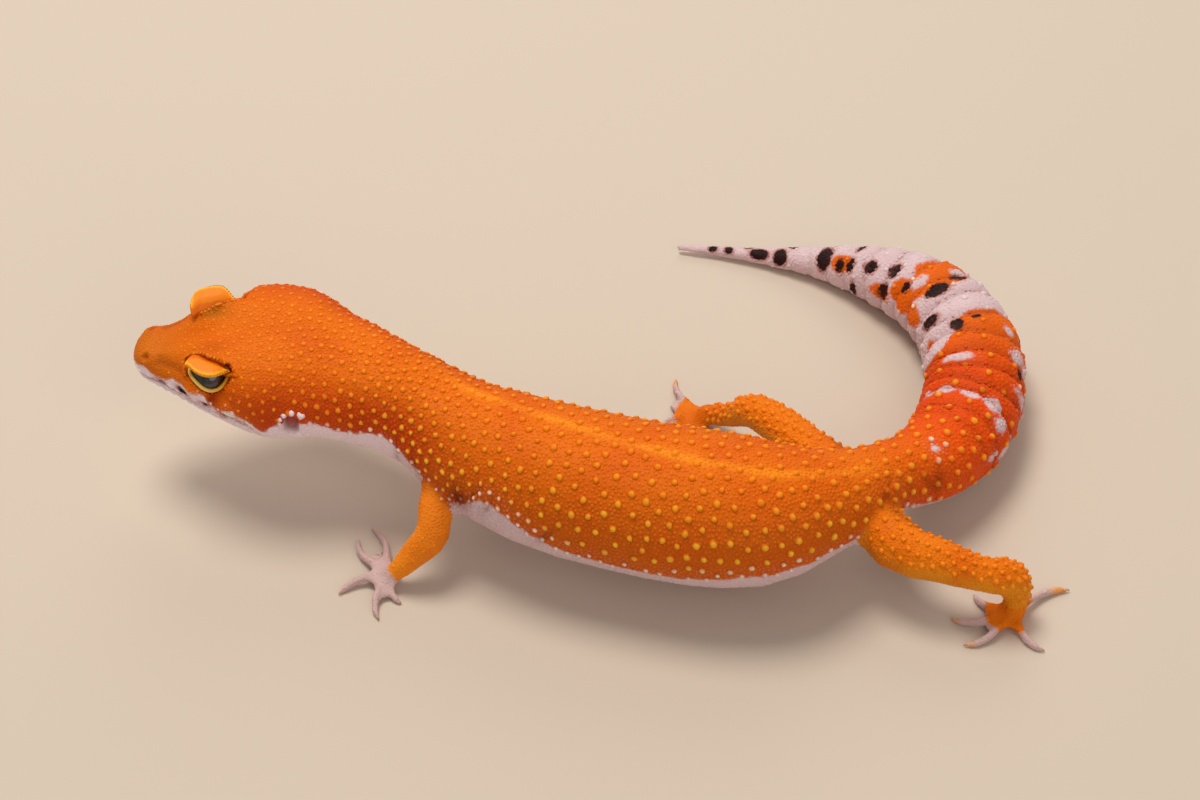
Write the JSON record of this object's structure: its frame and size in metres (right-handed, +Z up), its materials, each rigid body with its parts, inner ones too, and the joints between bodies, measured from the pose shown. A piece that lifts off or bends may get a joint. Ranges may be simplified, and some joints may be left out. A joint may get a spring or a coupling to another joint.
{
  "type": "leopard gecko model",
  "caption": "Life-size leopard gecko in mid walk, broad head turned slightly, stout tail swept round in a C behind its hips.",
  "frame": {"origin": "middle of the footprint's bounding box, on the floor", "axes": "+Z up, snout towards -X, the gecko's left side towards -Y"},
  "size_m": [0.14, 0.0876, 0.0291],
  "materials": {
    "skin": "dry scaly skin, satin",
    "pale_skin": "dry fine-scaled skin, satin",
    "eye": "wet gloss",
    "eardrum": "thin taut skin, satin"
  },
  "bodies": {
    "root": {"head": "skin", "neck": "skin", "trunk": "skin", "tail_1": "skin", "tail_2": "skin", "tail_3": "skin", "tail_4": "skin", "front_left_upper": "skin", "front_left_lower": "skin", "front_right_upper": "skin", "front_right_lower": "skin", "hind_left_upper": "skin", "hind_left_lower": "skin", "hind_right_upper": "skin", "hind_right_lower": "skin", "lower_jaw": "pale_skin", "tail_5": "pale_skin", "tail_6": "pale_skin", "front_left_foot": "pale_skin", "front_right_foot": "pale_skin", "hind_left_foot": "pale_skin", "hind_right_foot": "pale_skin", "eye_left": "eye", "eye_right": "eye", "ear_left": "eardrum", "ear_right": "eardrum"}
  },
  "joints": []
}
